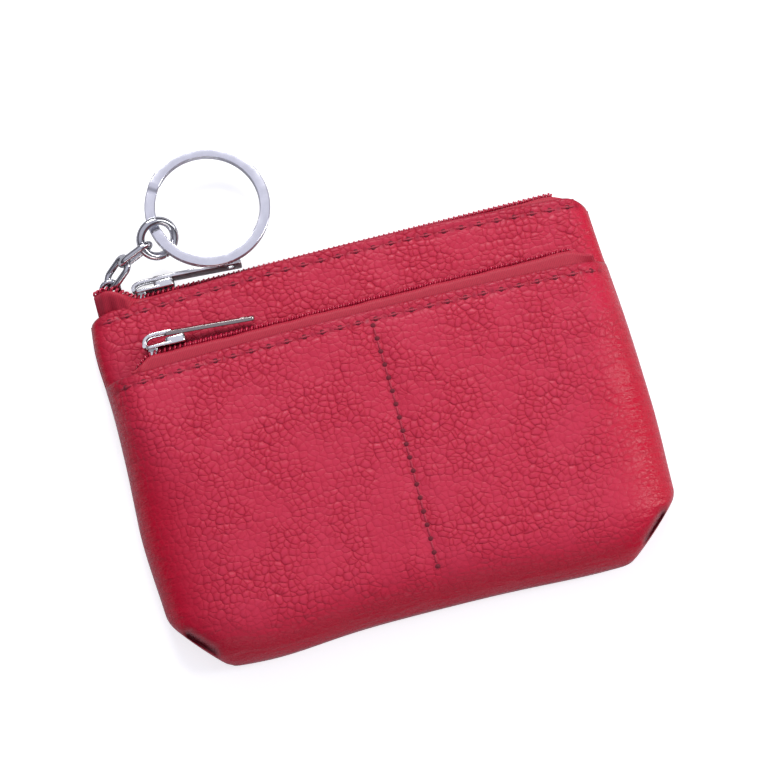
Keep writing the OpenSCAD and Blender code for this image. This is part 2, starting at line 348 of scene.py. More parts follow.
# shape of the pouch, in mm
pouch = dict(bottom=118.0, top=113.0, height=84.0, skin=1.0, corner=13.0, lip=24.0, bow=1.4,
             full=15.2, rimBack=3.4, rimFront=3.7, edge=41.1, edgeBow=2.2)
yBottom = -pouch["height"] / 2
taper = (pouch["bottom"] - pouch["top"]) / 2 / pouch["height"]
mouthSide, mouthMid = 57.0, 30.0


def halfWidth(y):
    return pouch["bottom"] / 2 - taper * (y - yBottom)


def side(y, d, r):
    h = y - yBottom - d
    q = r - d
    cut = np.where(h < q, q - np.sqrt(np.maximum(0, q * q - (q - h) ** 2)), 0)
    return halfWidth(y) - d - cut


def crown(s, flat):
    t = np.clip((np.abs(s) - flat) / (1 - flat), 0, 1)
    return np.sqrt(np.maximum(0, 1 - t ** 2.3))


def fold(h, run):
    t = np.clip((run - h) / run, 0, 1)
    return np.sqrt(np.maximum(0, 1 - t ** 2.2))


def pocketZ(y):
    return pouch["full"] - 0.4 * ((y + 5) / 28) ** 2


def frontZ(y):
    return 8.0 - 0.2 * (y / 41) ** 2


def pocketFlat(y):
    return np.where(y > 12, 0.84, 0.84 - 0.2 * np.minimum(1, (12 - y) / 20))


def frontFlat(y):
    return np.clip(0.84 + 0.06 * (y - 5) / 10, 0.84, 0.9)


def tuck(y):
    return np.clip(1.6 - (y - pouch["lip"] + 4.4) / 2, 0.2, 1.6)


def smooth(t):
    t = np.clip(t, 0, 1)
    return t * t * (3 - 2 * t)


def settle(x, y):
    # the soft pouch has slumped out of square: its upper part leans left, its lower corners pull in
    low = smooth((-8 - y) / 28)
    dx = -1.0 * smooth(y / 38) - 0.9 * smooth((-x - 30) / 25) * np.exp(-((y - 31) / 9) ** 2) + low * np.where(x < 0, 2.1, -1.1) * (np.abs(x) / 57) ** 3
    belly = 1.5 * np.exp(-((x + 36) / 15) ** 2) + 0.9 * np.exp(-((x - 38) / 17) ** 2)
    x, y = x + dx, y - belly * smooth((-25 - y) / 15)
    # the boxed corners are cut off slantwise
    slope = np.where(x < 0, 0.91, 1.10)
    over = np.abs(x) + slope * np.abs(np.minimum(y, 0)) - np.where(x < 0, 84.4, 91.2)
    over = np.where(over > 2, over, np.clip(over + 2, 0, None) ** 2 / 8) * 0.85
    return x - np.sign(x) * over / (1 + slope ** 2), y + slope * over / (1 + slope ** 2)


def cornerDrop(s):
    # the top corners are rounded off, the open one more than the closed one
    t = np.clip((np.abs(s) - 0.9) / 0.1, 0, 1)
    return np.where(s > 0, 2.7, 1.2) * t ** 2.5


def dart(x, y):
    # the pinch sewn into each bottom corner: distance from a short slanting line
    ax, ay, bx, by = 54.6, -34.6, 49.6, -38.6
    px, py = np.abs(x) - ax, y - ay
    t = np.clip((px * (bx - ax) + py * (by - ay)) / ((bx - ax) ** 2 + (by - ay) ** 2), 0, 1)
    away = np.hypot(px - t * (bx - ax), py - t * (by - ay))
    return np.exp(-(away / 1.25) ** 2) * (1 - 0.3 * t)


def waves(x, y, seed, size, amount):
    rng = np.random.default_rng(seed)
    total = 0 * x
    for k in range(9):
        a = rng.uniform(0, 2 * math.pi)
        f = rng.uniform(0.6, 1.5) / size
        total = total + np.sin(2 * math.pi * f * (x * math.cos(a) + y * math.sin(a))
                               + rng.uniform(0, 6.28))
    return amount * total / 3


# stitch rows: a straight-sided bow across the pouch, or a line down it
rows = dict(pitch=4.0, edge=(38.9, 2.2, 56.5), lip=(21.8, 1.4, 57.0), centreX=3.0, centreTop=20.5,
            centrePitch=3.0, centreCount=18)


def rowY(row, x):
    level, bow, half = rows[row]
    return level - bow * (x / half) ** 2


def holesAcross(row, x, y):
    away = (x + rows["pitch"]) % rows["pitch"] - rows["pitch"] / 2
    return np.hypot(away, (y - rowY(row, x)))


def holesDown(x, y):
    step = rows["centrePitch"]
    away = (rows["centreTop"] - y + step / 2) % step - step / 2
    far = np.clip(y - rows["centreTop"], 0, None) + np.clip(rows["centreTop"] - step * rows["centreCount"] - y, 0, None)
    return np.hypot(np.hypot(away, x - rows["centreX"]), far)


# a soft halo of painted shade round each needle hole; the surface itself is not dented
def shadeHalo(away):
    return np.exp(-(away / 0.62) ** 2)


def pocketSurface(u, v, d):
    s = np.sin(u * math.pi / 2)
    top = pouch["lip"] - pouch["bow"] * s * s
    low = yBottom + d
    y = low + (top - low) * (0.55 * v + 0.45 * (1 - np.cos(v * math.pi / 2)))
    x = side(y, d, pouch["corner"]) * s
    share = crown(s, pocketFlat(y)) * fold(y - low, 12)
    z = pouch["rimFront"] + (pocketZ(y) - pouch["rimFront"] - d) * share
    free = np.clip((top - y) / 10, 0, 1)
    z = z + share ** 2 * free * waves(x, y, 4, 60, 0.2)
    seam = np.exp(-((x - rows["centreX"]) / 2.4) ** 2) * np.clip((top - y) / 8, 0, 1)
    # painted shade round the needle holes; the corner pinch below, a real dent, is also painted dark in the last value
    holes = shadeHalo(holesAcross("lip", x, y)) + shadeHalo(holesDown(x, y))
    pinch = dart(x, y)
    z = z - share ** 2 * 0.4 * seam - share * 4.4 * pinch
    z = z - 0.20 * np.exp(-((y - rowY("lip", x)) / 1.3) ** 2) * share
    roll = np.clip(1.25 * (1 - share ** 3), 0, 1)
    return x, y, z, top - y, np.clip(0.5 * holes + 1.3 * pinch, 0, 1), roll


def frontSurface(u, v, d):
    s = np.sin(u * math.pi / 2)
    low = yBottom + 1.6 + d
    top = pouch["edge"] - pouch["edgeBow"] * s * s - cornerDrop(s)
    y = low + (top - low) * (0.55 * v + 0.45 * (1 - np.cos(v * math.pi / 2)))
    x = (side(y, 1.6 + d, pouch["corner"]) + 1.6 - tuck(y)) * s
    share = crown(s, frontFlat(y)) * fold(y - low, 7)
    z = pouch["rimFront"] + (frontZ(y) - pouch["rimFront"] - d) * share
    # painted shade round the needle holes
    holes = shadeHalo(holesAcross("edge", x, y))
    z = z - share * 0.20 * np.exp(-((y - rowY("edge", x)) / 1.3) ** 2)
    z = z + share ** 2 * waves(x, y, 9, 30, 0.12)
    return x, y, z, top - y, 0.5 * holes, np.clip(1.2 * (1 - share ** 3), 0, 1)


def backSurface(u, v, d):
    s = np.sin(u * math.pi / 2)
    low = yBottom + d
    top = 40.4 - 1.7 * s ** 4 - cornerDrop(s)
    y = low + (top - low) * (0.55 * v + 0.45 * (1 - np.cos(v * math.pi / 2)))
    x = side(y, d, pouch["corner"]) * s
    rim = pouch["rimBack"]
    share = crown(s, 0.92) * fold(y - low, 4)
    z = rim - (rim - d) * share
    return x, y, z, top - y, 0 * z, np.clip(1 - share, 0, 1)


def addMesh(name, verts, faces, materials, slots=None):
    mesh = bpy.data.meshes.new(name)
    mesh.from_pydata((np.asarray(verts) * 0.001).tolist(), [], [list(map(int, f)) for f in faces])
    for material in materials:
        mesh.materials.append(material)
    mesh.polygons.foreach_set("use_smooth", [True] * len(mesh.polygons))
    if slots is not None:
        mesh.polygons.foreach_set("material_index", [int(k) for k in slots])
    mesh.update()
    obj = bpy.data.objects.new(name, mesh)
    bpy.context.scene.collection.objects.link(obj)
    return obj


def flatLayout(points):
    # arc lengths down and across the sheet, so the grain keeps its size round every bend
    x, y, z = (points[..., k] for k in range(3))
    down = np.cumsum(np.concatenate([0 * y[:1], np.hypot(np.diff(y, axis=0), np.diff(z, axis=0))]), 0)
    down = down - down[-1:] + y[-1:]
    run = np.cumsum(np.concatenate([0 * x[:, :1], np.hypot(np.diff(x, axis=1), np.diff(z, axis=1))], 1), 1)
    mid = x.shape[1] // 2
    run = run - run[:, mid:mid + 1] + x[:, mid:mid + 1]
    return np.stack([run, down], -1).reshape(-1, 2)


def shellPanel(name, surface, rows, cols, skin, materials, flip=False, offset=0.0, lipRoll=0.35):
    u, v = np.meshgrid(np.linspace(-1, 1, cols + 1), np.linspace(0, 1, rows + 1))
    layers, shades, rolls = [], [], []
    for d, bend in ((offset, -1), (offset + skin, 1)):
        x, y, z, reach, holes, rolled = surface(u, v, d)
        roll = np.clip(1 - reach / (skin * 0.9), 0, 1) ** 2
        z = z + bend * lipRoll * skin * roll * (-1 if flip else 1)
        layers.append(np.stack([*settle(x, y), z], -1))
        # painted shade: darker close to each top edge, plus the halos and pinches from the surface
        shades.append(np.clip(0.45 * np.exp(-np.abs(reach) / 0.6) + holes, 0, 1))
        rolls.append(rolled + 0 * z)
    n, w = (rows + 1) * (cols + 1), cols + 1
    j, i = np.meshgrid(np.arange(rows), np.arange(cols), indexing="ij")
    a = (j * w + i).ravel()
    quad = np.stack([a, a + 1, a + w + 1, a + w], -1)
    k, m = np.arange(cols), np.arange(rows)

    def rim(p, q):
        return np.stack([q, p, p + n, q + n], -1)

    rims = np.concatenate([rim(k, k + 1), rim(rows * w + k + 1, rows * w + k),
                           rim((m + 1) * w, m * w), rim(m * w + cols, (m + 1) * w + cols)])
    faces = np.concatenate([quad, quad[:, ::-1] + n, rims])
    if flip:
        faces = faces[:, ::-1]
    slots = np.zeros(len(faces), int)
    slots[len(quad):2 * len(quad)] = len(materials) - 1
    obj = addMesh(name, np.concatenate([p.reshape(-1, 3) for p in layers]), faces, materials, slots)
    flat = np.concatenate([flatLayout(p) for p in layers]) * 0.001
    corners = np.zeros(len(obj.data.loops), int)
    obj.data.loops.foreach_get("vertex_index", corners)
    obj.data.uv_layers.new(name="flat").data.foreach_set("uv", flat[corners].ravel())
    for label, values in (("shade", shades), ("roll", rolls)):
        values = np.concatenate([p.ravel() for p in values]).astype(np.float32)
        obj.data.attributes.new(label, "FLOAT", "POINT").data.foreach_set("value", values)
    # where each column starts out across the width, so that both faces are cut alike
    column = np.tile((57.5 * np.sin(u * math.pi / 2)).ravel(), 2).astype(np.float32)
    obj.data.attributes.new("column", "FLOAT", "POINT").data.foreach_set("value", column)
    return obj


def cutCaps(polys, owner, index, layer):
    # closes a cut: quads between the two faces of a sheet, or one polygon round a strip's end
    uses = {}
    for f, poly in enumerate(polys):
        for a, b in zip(poly, poly[1:] + poly[:1]):
            uses.setdefault((min(a, b), max(a, b)), []).append((f, a, b))
    caps, follow = [], {}
    for found in uses.values():
        inside = [k for k in found if owner[k[0]] == index]
        if len(found) != 2 or len(inside) != 1:
            continue
        f, a, b = inside[0]
        if layer and max(a, b) < layer:
            caps.append([b, a, a + layer, b + layer])
        elif not layer:
            follow[b] = a
    while follow:
        first, step = follow.popitem()
        ring = [first, step]
        while ring[-1] in follow:
            ring.append(follow.pop(ring[-1]))
        caps.append(ring[:-1] if ring[-1] == ring[0] else ring)
    return [cap for cap in caps if len(cap) > 2]


def parted(obj, places, names, apart=0, group=1):
    # cuts a finished piece across its width; the shading is copied, so no cut shows
    # apart: how far apart a sheet's two faces are numbered; group: polygons that stay together
    mesh = obj.data
    co = np.array([v.co for v in mesh.vertices])
    polys = [list(p.vertices) for p in mesh.polygons]
    loops = [list(p.loop_indices) for p in mesh.polygons]
    place = co[:, 0] * 1000
    if "column" in mesh.attributes:
        mesh.attributes["column"].data.foreach_get("value", place)
    centre = np.array([place[poly].mean() for poly in polys])
    centre = np.repeat(centre.reshape(-1, group).mean(1), group)
    owner = np.searchsorted(np.array(places), centre)
    normals = np.array([c.vector for c in mesh.corner_normals])
    uv = None
    if mesh.uv_layers:
        uv = np.zeros(2 * len(mesh.loops))
        mesh.uv_layers[0].data.foreach_get("uv", uv)
        uv = uv.reshape(-1, 2)
    kept = {}
    for label in ("shade", "roll"):
        if label in mesh.attributes:
            kept[label] = np.zeros(len(mesh.vertices))
            mesh.attributes[label].data.foreach_get("value", kept[label])
    cornerOf = {v: c for poly, corners in zip(polys, loops) for v, c in zip(poly, corners)}
    pieces = []
    for index, label in enumerate(names):
        chosen = np.nonzero(owner == index)[0]
        caps = cutCaps(polys, owner, index, apart)
        used = sorted({v for f in chosen for v in polys[f]})
        order = {v: i for i, v in enumerate(used)}
        faces = [[order[v] for v in poly] for poly in [polys[f] for f in chosen] + caps]
        slots = [mesh.polygons[int(f)].material_index for f in chosen] + [len(mesh.materials) - 1] * len(caps)
        piece = addMesh(f"{obj.name}.{label}", co[used] * 1000, faces, list(mesh.materials), slots)
        corners = [c for f in chosen for c in loops[f]]
        own = normals[corners]
        if caps:
            sign = math.copysign(1, places[min(index, len(places) - 1)] - np.mean(co[used][:, 0]) * 1000)
            extra = [cornerOf[v] for cap in caps for v in cap]
            own = np.concatenate([own, np.tile((sign, 0, 0), (len(extra), 1))])
            corners = corners + extra
        if uv is not None:
            piece.data.uv_layers.new(name="flat").data.foreach_set("uv", uv[corners].ravel())
        for label, values in kept.items():
            layer = piece.data.attributes.new(label, "FLOAT", "POINT")
            layer.data.foreach_set("value", values[used].astype(np.float32))
        piece.data.normals_split_custom_set(own.tolist())
        pieces.append(piece)
    bpy.data.objects.remove(obj)
    return pieces


# Where the pieces are cut across the pouch; only mid is read. Each cut piece is fixed in place and its CAD node hidden.
mouth = dict(side=58.0, mid=46.0, centre=6.0)


def openWithMouth(pieces, node):
    for piece, sign in zip(pieces, (-1, 1)):
        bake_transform(piece)
        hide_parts(node)


def openWithPocket(pieces, node):
    for piece, sign, outer in zip(pieces, (-1, -1, 1, 1), (True, False, False, True)):
        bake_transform(piece)
        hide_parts(node)


mainParts = ([0.0], ["left", "right"])
pocketParts = ([-mouth["mid"], 0.0, mouth["mid"]], ["farLeft", "left", "right", "farRight"])

# leather panels
panelGrid = dict(rows=190, cols=260)
panelPoints = (panelGrid["rows"] + 1) * (panelGrid["cols"] + 1)
backLeather = shellPanel("backLeather", backSurface, panelGrid["rows"], panelGrid["cols"],
                         pouch["skin"], [leatherMat, liningMat], flip=True)
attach(backLeather, "back")
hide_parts("back_panel")
frontLeather = shellPanel("frontLeather", frontSurface, panelGrid["rows"], panelGrid["cols"],
                          pouch["skin"], [leatherMat, liningMat])
openWithMouth(parted(frontLeather, *mainParts, apart=panelPoints), "front_panel")
pocketLeather = shellPanel("pocketLeather", pocketSurface, panelGrid["rows"], panelGrid["cols"],
                           pouch["skin"], [leatherMat, liningMat])
openWithPocket(parted(pocketLeather, *pocketParts, apart=panelPoints), "pocket_panel")
print("leather panels made")

# linings: thin cloth just inside each panel
lining = dict(skin=0.25, gap=0.25, rows=40, cols=80)
inset = pouch["skin"] + lining["gap"]
liningPoints = (lining["rows"] + 1) * (lining["cols"] + 1)


def innerSheet(surface, trim):
    def sheet(u, v, d):
        x, y, z, reach, holes, rolled = surface(u * 0.985, v * (1 - trim) + trim * 0.3, d)
        return x, y, z, reach + 3, 0 * holes, rolled
    return sheet


def liningPanel(name, surface, trim, flip=False):
    return shellPanel(name, innerSheet(surface, trim), lining["rows"], lining["cols"], lining["skin"],
                      [liningMat], flip=flip, offset=inset, lipRoll=0)


def declareSheet(piece):
    # reads the sheet's flat cut, measured along the cloth itself with both faces on the same outline, and does nothing
    # more with it
    uv = np.zeros(2 * len(piece.data.loops))
    piece.data.uv_layers[0].data.foreach_get("uv", uv)
    uv = uv.reshape(-1, 2)


backLining = liningPanel("backLining", backSurface, 0.03, flip=True)
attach(backLining, "back")
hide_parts("back_lining")
declareSheet(backLining)
frontLining = parted(liningPanel("frontLining", frontSurface, 0.03), *mainParts,
                     apart=liningPoints)
openWithMouth(frontLining, "front_lining")
pocketLining = parted(liningPanel("pocketLining", pocketSurface, 0.03), *pocketParts,
                      apart=liningPoints)
openWithPocket(pocketLining, "pocket_lining")
for piece in frontLining + pocketLining:
    declareSheet(piece)
print("linings made")

# sweeps and plates


def sweep(path, section, up, closed=False):
    path, section, up = np.asarray(path, float), np.asarray(section, float), np.asarray(up, float)
    n, m = len(path), len(section)
    if closed:
        tangent = np.roll(path, -1, 0) - np.roll(path, 1, 0)
    else:
        tangent = np.gradient(path, axis=0)
    tangent /= np.linalg.norm(tangent, axis=1, keepdims=True)
    rise = up - (tangent @ up)[:, None] * tangent
    rise /= np.linalg.norm(rise, axis=1, keepdims=True)
    out = np.cross(tangent, rise)
    verts = (path[:, None] + section[None, :, :1] * out[:, None] + section[None, :, 1:] * rise[:, None])
    faces = []
    for i in range(n if closed else n - 1):
        a, b = i * m, (i + 1) % n * m
        faces += [[a + k, b + k, b + (k + 1) % m, a + (k + 1) % m] for k in range(m)]
    if not closed:
        faces += [list(range(m))[::1], [(n - 1) * m + k for k in range(m)][::-1]]
    return verts.reshape(-1, 3), faces


def roundSection(width, height, radius, steps=4):
    points = []
    for cx, cy, start in ((1, 1, 0), (-1, 1, 90), (-1, -1, 180), (1, -1, 270)):
        for k in range(steps + 1):
            t = math.radians(start + 90 * k / steps)
            points.append((cx * (width / 2 - radius) + radius * math.cos(t),
                           cy * (height / 2 - radius) + radius * math.sin(t)))
    return points


def ovalPath(a, b, count, start=0.0, turn=360.0):
    # a stadium, walked evenly: half length a and half width b of the wire's centre line
    straight, arc = 2 * (a - b), math.pi * b
    whole = 2 * (straight + arc)
    points = []
    closed = turn >= 360
    for k in range(count):
        s = (start + turn * k / (count if closed else count - 1)) / 360 * whole % whole
        if s < arc:
            t = s / b - math.pi / 2
            points.append((a - b + b * math.cos(t), b * math.sin(t), 0))
        elif s < arc + straight:
            points.append((a - b - (s - arc), b, 0))
        elif s < 2 * arc + straight:
            t = (s - arc - straight) / b + math.pi / 2
            points.append((b - a + b * math.cos(t), b * math.sin(t), 0))
        else:
            points.append((b - a + s - 2 * arc - straight, -b, 0))
    return np.array(points)


def turned(points, angles, place):
    rx, ry, rz = (math.radians(k) for k in angles)
    spin = Matrix.Rotation(rz, 3, "Z") @ Matrix.Rotation(ry, 3, "Y") @ Matrix.Rotation(rx, 3, "X")
    return np.asarray(points) @ np.array(spin).T + np.asarray(place)


def platePoints(outlines, thick, bevel):
    # a flat plate with softly rounded edges; outlines are drawn one bevel inside the real edge
    curve = bpy.data.curves.new("plate", "CURVE")
    curve.dimensions = "2D"
    curve.fill_mode = "BOTH"
    curve.extrude = thick / 2 - bevel
    curve.bevel_depth = bevel
    curve.bevel_resolution = 3
    for outline in outlines:
        spline = curve.splines.new("POLY")
        spline.points.add(len(outline) - 1)
        for point, (x, y) in zip(spline.points, outline):
            point.co = (x, y, 0, 1)
        spline.use_cyclic_u = True
    holder = bpy.data.objects.new("plate", curve)
    bpy.context.scene.collection.objects.link(holder)
    bpy.context.view_layer.update()
    mesh = bpy.data.meshes.new_from_object(holder.evaluated_get(bpy.context.evaluated_depsgraph_get()))
    verts = np.array([v.co for v in mesh.vertices])
    faces = [list(p.vertices) for p in mesh.polygons]
    bpy.data.objects.remove(holder)
    bpy.data.meshes.remove(mesh)
    return verts, faces


def joinParts(parts):
    verts, faces, base = [], [], 0
    for v, f in parts:
        verts.append(np.asarray(v))
        faces += [[k + base for k in face] for face in f]
        base += len(v)
    return np.concatenate(verts), faces


def smoothPath(points, count):
    # a Catmull-Rom curve through the points, walked evenly by number
    points = np.concatenate([[2 * points[0] - points[1]], points, [2 * points[-1] - points[-2]]])
    result = []
    for t in np.linspace(0, len(points) - 3 - 1e-6, count):
        i = int(t)
        f = t - i
        a, b, c, d = points[i:i + 4]
        result.append(0.5 * (2 * b + (c - a) * f + (2 * a - 5 * b + 4 * c - d) * f ** 2
                             + (3 * b - a - 3 * c + d) * f ** 3))
    return np.array(result)


def hardEdges(obj, angle=35):
    # flat faces stay flat and only gentle bends are smoothed
    mesh = obj.data
    edges = {}
    for polygon in mesh.polygons:
        for key in polygon.edge_keys:
            edges.setdefault(key, []).append(polygon.normal.copy())
    sharp = mesh.attributes.new("sharp_edge", "BOOLEAN", "EDGE")
    limit = math.radians(angle)
    values = []
    for edge in mesh.edges:
        sides = edges.get(edge.key, [])
        values.append(len(sides) == 2 and sides[0].angle(sides[1], 0) > limit)
    sharp.data.foreach_set("value", values)


def smoothOutline(points, rounding, steps=5):
    # rounds every corner of a polygon by the same radius
    result = []
    n = len(points)
    for i in range(n):
        p, a, b = (np.array(points[k % n], float) for k in (i, i - 1, i + 1))
        u, v = (a - p) / np.linalg.norm(a - p), (b - p) / np.linalg.norm(b - p)
        half = math.acos(np.clip(u @ v, -1, 1)) / 2
        run = min(rounding / math.tan(half), 0.48 * np.linalg.norm(a - p), 0.48 * np.linalg.norm(b - p))
        for k in range(steps + 1):
            t = k / steps
            result.append(tuple((1 - t) ** 2 * (p + run * u) + 2 * t * (1 - t) * p + t * t * (p + run * v)))
    return result


# zip tapes and coils
zipper = dict(half=2.65, skin=0.28, bend=1.2, edge=0.85, end=53.0, pitch=1.15, coilEnd=48.5, sliderX=-43.0)
# past the slider each zip's closed end curls away: how far it rises, and how far it swings across
mainZip = dict(y=40.8, z=3.9, legEnd=-5.2, start=-55.8, coilStart=-55.4)
pocketZip = dict(y=26.4, z=10.9, legEnd=-6.5, start=-51.0, coilStart=-50.0)


def step(x, start, run):
    t = np.clip((start - x) / run, 0, 1)
    return t * t * (3 - 2 * t)


def curl(place, side, x):
    # offsets in y and z of the tape's toothed edge at x; both ends of a zip tuck in
    far = step(-x, -47.5, 5.5)
    if place is pocketZip:
        return -2.6 * step(x, -45.6, 5.5) - 2.0 * far, 0.3 * side * step(x, -45.6, 5)
    if side < 0:
        return 0.9 * step(x, -46, 6) - 1.8 * far, -0.6 * step(x, -46, 4)
    return 2.9 * step(x, -45.8, 7) - 1.8 * far, 3.1 * step(x, -46.2, 3.6) - 2.6 * step(x, -53.0, 3.2)


tapeWaves = (0.21, 0.47, 0.9)


def tapeStrip(name, place, side):
    n = 150
    xs = np.linspace(place["start"], zipper["end"], n)
    r = zipper["bend"]
    line = [(y, zipper["half"]) for y in np.linspace(place["legEnd"], -r, 8)]
    line += [(-r + r * math.sin(t), zipper["half"] - r + r * math.cos(t))
             for t in np.linspace(0.2, math.pi / 2, 7)]
    line += [(0.0, zipper["half"] - r - k) for k in (0.25, zipper["half"] - r - zipper["edge"])]
    line = np.array(line)
    normal = np.gradient(line, axis=0)
    normal = np.stack([normal[:, 1], -normal[:, 0]], -1)
    normal /= np.linalg.norm(normal, axis=1, keepdims=True)
    ring = np.concatenate([line, (line + zipper["skin"] * normal)[::-1]])
    share = np.clip((ring[:, 0] + 4.4) / 4.4, 0, 1)
    phase = np.random.default_rng(7).uniform(0, 6.28, 3)
    verts = []
    for x in xs:
        wave = 0.05 * sum(math.sin(x * f + p) for f, p in zip(tapeWaves, phase))
        rise, across = curl(place, side, x)
        y = ring[:, 0] + (rise + wave) * share
        # the free part of the tape gathers in shallow folds towards its end
        fold = 0.35 * math.sin(x * 2.3) * float(step(x, -46, 4)) * np.sin(share * math.pi)
        # its sewn edge narrows into the corner, behind the leather
        narrow = 1 - (0.7 * float(step(x, -49.0, 5)) + 0.6 * float(step(-x, -47.0, 6))) * (1 - share)
        z = side * ring[:, 1] * narrow + across * share + fold
        verts.append(np.stack([0 * y + x, place["y"] + y, place["z"] + z], -1))
    m = len(ring)
    faces = []
    for i in range(n - 1):
        faces += [[i * m + k, i * m + (k + 1) % m, (i + 1) * m + (k + 1) % m, (i + 1) * m + k] for k in range(m)]
    faces += [list(range(m))[::-1], [(n - 1) * m + k for k in range(m)]]
    if side < 0:
        faces = [f[::-1] for f in faces]
    return addMesh(name, np.concatenate(verts), faces, [tapeMat])


def repeatPiece(name, places, turns, piece, material, seed, wobble):
    # Geometry Nodes: the same small piece on every point, each turned by its own angles
    points = bpy.data.meshes.new(name + "Points")
    points.from_pydata((np.asarray(places) * 0.001).tolist(), [], [])
    layer = points.attributes.new("turn", "FLOAT_VECTOR", "POINT")
    layer.data.foreach_set("vector", np.asarray(turns, np.float32).ravel())
    holder = bpy.data.objects.new(name + "Points", points)
    bpy.context.scene.collection.objects.link(holder)
    group = bpy.data.node_groups.new(name + "Nodes", "GeometryNodeTree")
    ids = {}
    for label, kind in (("Geometry", "NodeSocketGeometry"), ("Piece", "NodeSocketObject"),
                        ("Material", "NodeSocketMaterial"), ("Seed", "NodeSocketInt"),
                        ("Wobble", "NodeSocketFloat")):
        ids[label] = group.interface.new_socket(label, in_out="INPUT", socket_type=kind).identifier
    group.interface.new_socket("Geometry", in_out="OUTPUT", socket_type="NodeSocketGeometry")
    start, end = group.nodes.new("NodeGroupInput"), group.nodes.new("NodeGroupOutput")
    source = group.nodes.new("GeometryNodeObjectInfo")
    spread = group.nodes.new("GeometryNodeInstanceOnPoints")
    turn = group.nodes.new("GeometryNodeInputNamedAttribute")
    turn.data_type = "FLOAT_VECTOR"
    turn.inputs["Name"].default_value = "turn"
    chance = group.nodes.new("FunctionNodeRandomValue")
    chance.data_type = "FLOAT_VECTOR"
    chance.inputs[0].default_value = (-1, -1, -1)
    chance.inputs[1].default_value = (1, 1, 1)
    scaled = group.nodes.new("ShaderNodeVectorMath")
    scaled.operation = "SCALE"
    added = group.nodes.new("ShaderNodeVectorMath")
    made = group.nodes.new("GeometryNodeRealizeInstances")
    finish = group.nodes.new("GeometryNodeSetMaterial")
    link(group, start.outputs["Piece"], source.inputs["Object"])
    link(group, start.outputs["Geometry"], spread.inputs["Points"])
    link(group, source.outputs["Geometry"], spread.inputs["Instance"])
    link(group, start.outputs["Seed"], chance.inputs["Seed"])
    link(group, chance.outputs[0], scaled.inputs[0])
    link(group, start.outputs["Wobble"], scaled.inputs["Scale"])
    link(group, turn.outputs["Attribute"], added.inputs[0])
    link(group, scaled.outputs[0], added.inputs[1])
    link(group, added.outputs[0], spread.inputs["Rotation"])
    link(group, spread.outputs[0], made.inputs[0])
    link(group, made.outputs[0], finish.inputs["Geometry"])
    link(group, start.outputs["Material"], finish.inputs["Material"])
    link(group, finish.outputs[0], end.inputs[0])
    modifier = holder.modifiers.new("repeat", "NODES")
    modifier.node_group = group
    for label, value in (("Piece", piece), ("Material", material), ("Seed", seed), ("Wobble", wobble)):
        modifier[ids[label]] = value
    bpy.context.view_layer.update()
    graph = bpy.context.evaluated_depsgraph_get()
    mesh = bpy.data.meshes.new_from_object(holder.evaluated_get(graph))
    obj = bpy.data.objects.new(name, mesh)
    mesh.name = name
    bpy.context.scene.collection.objects.link(obj)
    bpy.data.objects.remove(holder)
    mesh.polygons.foreach_set("use_smooth", [True] * len(mesh.polygons))
    return obj


coilTurn = dict(wire=0.27, rise=0.36, reach=0.60, slant=0.14, centre=0.56, across=0.42, steps=28)
turnFaces = coilTurn["steps"] * 12


def coilRow(name, place, side):
    path = ovalPath(coilTurn["reach"], coilTurn["rise"], coilTurn["steps"])
    # the loop stands across the zip, leaning along it like one turn of a spring
    loop = np.stack([coilTurn["slant"] * path[:, 1] / coilTurn["rise"], path[:, 1], path[:, 0]], -1)
    verts, faces = sweep(loop, roundSection(2 * coilTurn["wire"], 2 * coilTurn["wire"], 0.26, 2), (1, 0, 0), True)
    turn = addMesh("coilTurn", verts, faces, [coilMat])
    dense = np.linspace(zipper["coilEnd"], place["coilStart"], 4000)
    rise, across = curl(place, side, dense)
    run = np.concatenate([[0], np.cumsum(np.sqrt(np.diff(dense) ** 2 + np.diff(rise) ** 2 + np.diff(across) ** 2))])
    xs = np.interp(np.arange((side > 0) * zipper["pitch"] / 2, run[-1], zipper["pitch"]), run, dense)
    rise, across = curl(place, side, xs)
    places = np.stack([xs, place["y"] + coilTurn["centre"] + rise,
                       place["z"] + side * coilTurn["across"] + across], -1)
    turns = np.stack([0 * xs, -np.arctan(np.gradient(across, xs)), np.arctan(np.gradient(rise, xs))], -1)
    row = repeatPiece(name, places, turns, turn, coilMat, 3, 0.03)
    bpy.data.objects.remove(turn)
    return row


def soloPiece(piece, body, node):
    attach(piece, body)
    if node:
        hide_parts(node)


soloPiece(tapeStrip("mainTapeBack", mainZip, -1), "back", "main_tape_back")
soloPiece(coilRow("mainCoilBack", mainZip, -1), "back", "main_coil_back")
openWithMouth(parted(tapeStrip("mainTapeFront", mainZip, 1), *mainParts), "main_tape_front")
openWithMouth(parted(coilRow("mainCoilFront", mainZip, 1), *mainParts, group=turnFaces), "main_coil_front")
openWithMouth(parted(tapeStrip("pocketTapeUpper", pocketZip, -1), *mainParts), "pocket_tape_upper")
openWithMouth(parted(coilRow("pocketCoilUpper", pocketZip, -1), *mainParts, group=turnFaces), "pocket_coil_upper")
openWithPocket(parted(tapeStrip("pocketTapeLower", pocketZip, 1), *pocketParts), "pocket_tape_lower")
openWithPocket(parted(coilRow("pocketCoilLower", pocketZip, 1), *pocketParts, group=turnFaces), "pocket_coil_lower")
print("zips made")

# stitches: short threads that dive into a hole at each end
stitch = dict(width=0.5, height=0.36, sag=0.30, steps=15)
stitchFaces = (stitch["steps"] - 1) * 16 + 2


